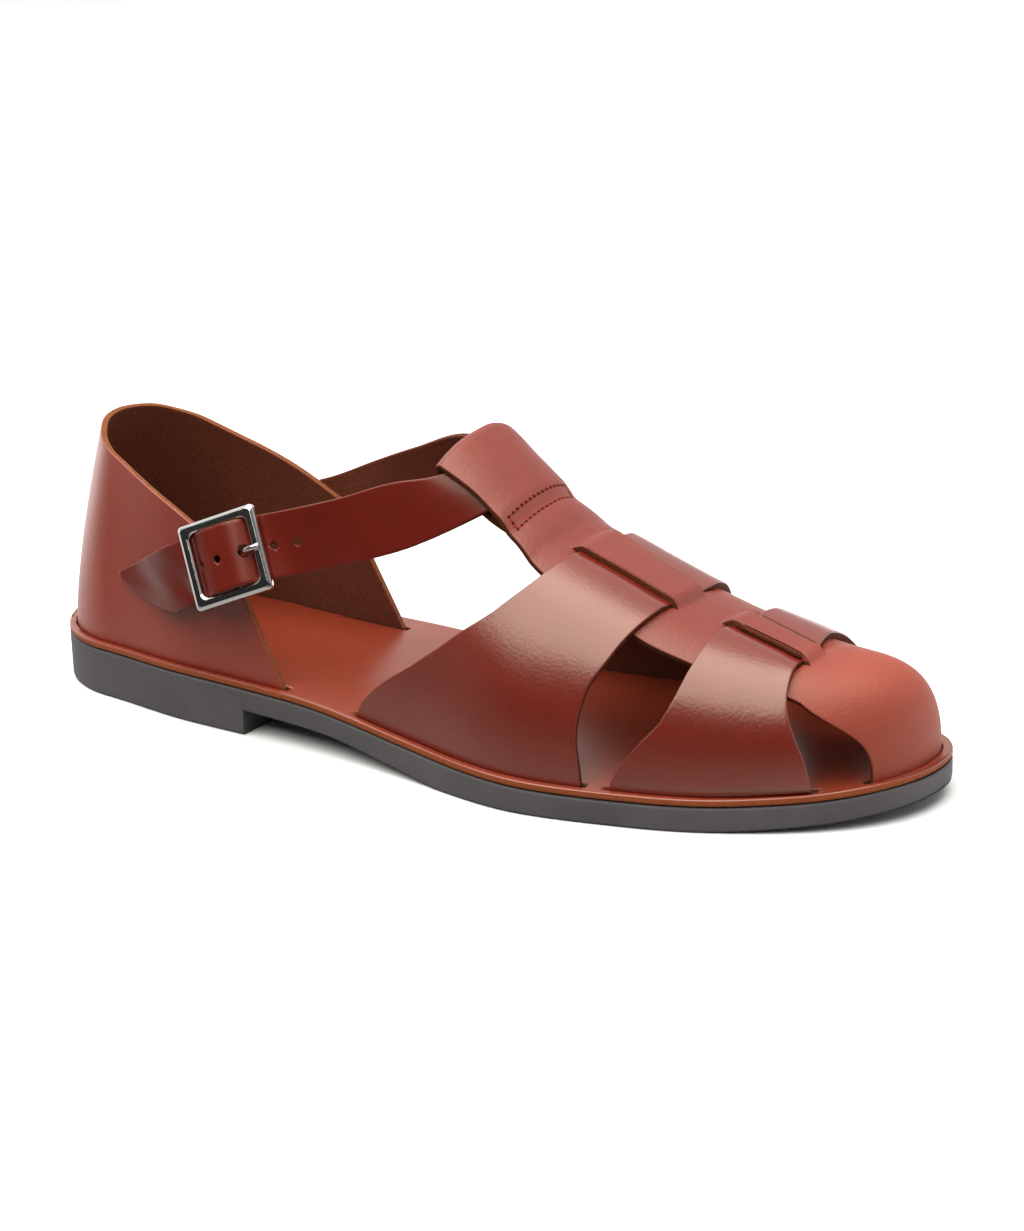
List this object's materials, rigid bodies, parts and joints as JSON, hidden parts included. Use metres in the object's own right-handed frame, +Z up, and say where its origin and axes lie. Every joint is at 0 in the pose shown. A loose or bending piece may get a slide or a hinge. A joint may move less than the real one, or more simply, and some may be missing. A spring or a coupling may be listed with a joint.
{
  "type": "sandal",
  "caption": "Right-foot closed-toe leather sandal: woven bands over the foot, slit centre strip with loop, buckled ankle strap, heel counter and flat rubber sole.",
  "frame": {"origin": "middle of the shoe's box in plan, on the floor under the sole", "axes": "+X from the heel to the toe, +Y to the inner (medial) side of the foot, +Z up"},
  "size_m": [0.285, 0.0984, 0.089],
  "materials": {
    "outsole": "matte dark grey",
    "topsole": "smooth orange-brown, satin",
    "upper": "smooth red-brown, soft gloss",
    "heel_counter": "smooth red-brown, soft gloss",
    "ankle_strap": "smooth red-brown, soft gloss",
    "buckle": "polished nickel",
    "chape": "smooth red-brown"
  },
  "bodies": {
    "root": {"outsole": "outsole", "topsole": "topsole", "upper": "upper", "heel_counter": "heel_counter", "ankle_strap": "ankle_strap", "buckle_frame": "buckle", "buckle_prong": "buckle", "buckle_chape": "chape"}
  },
  "joints": []
}
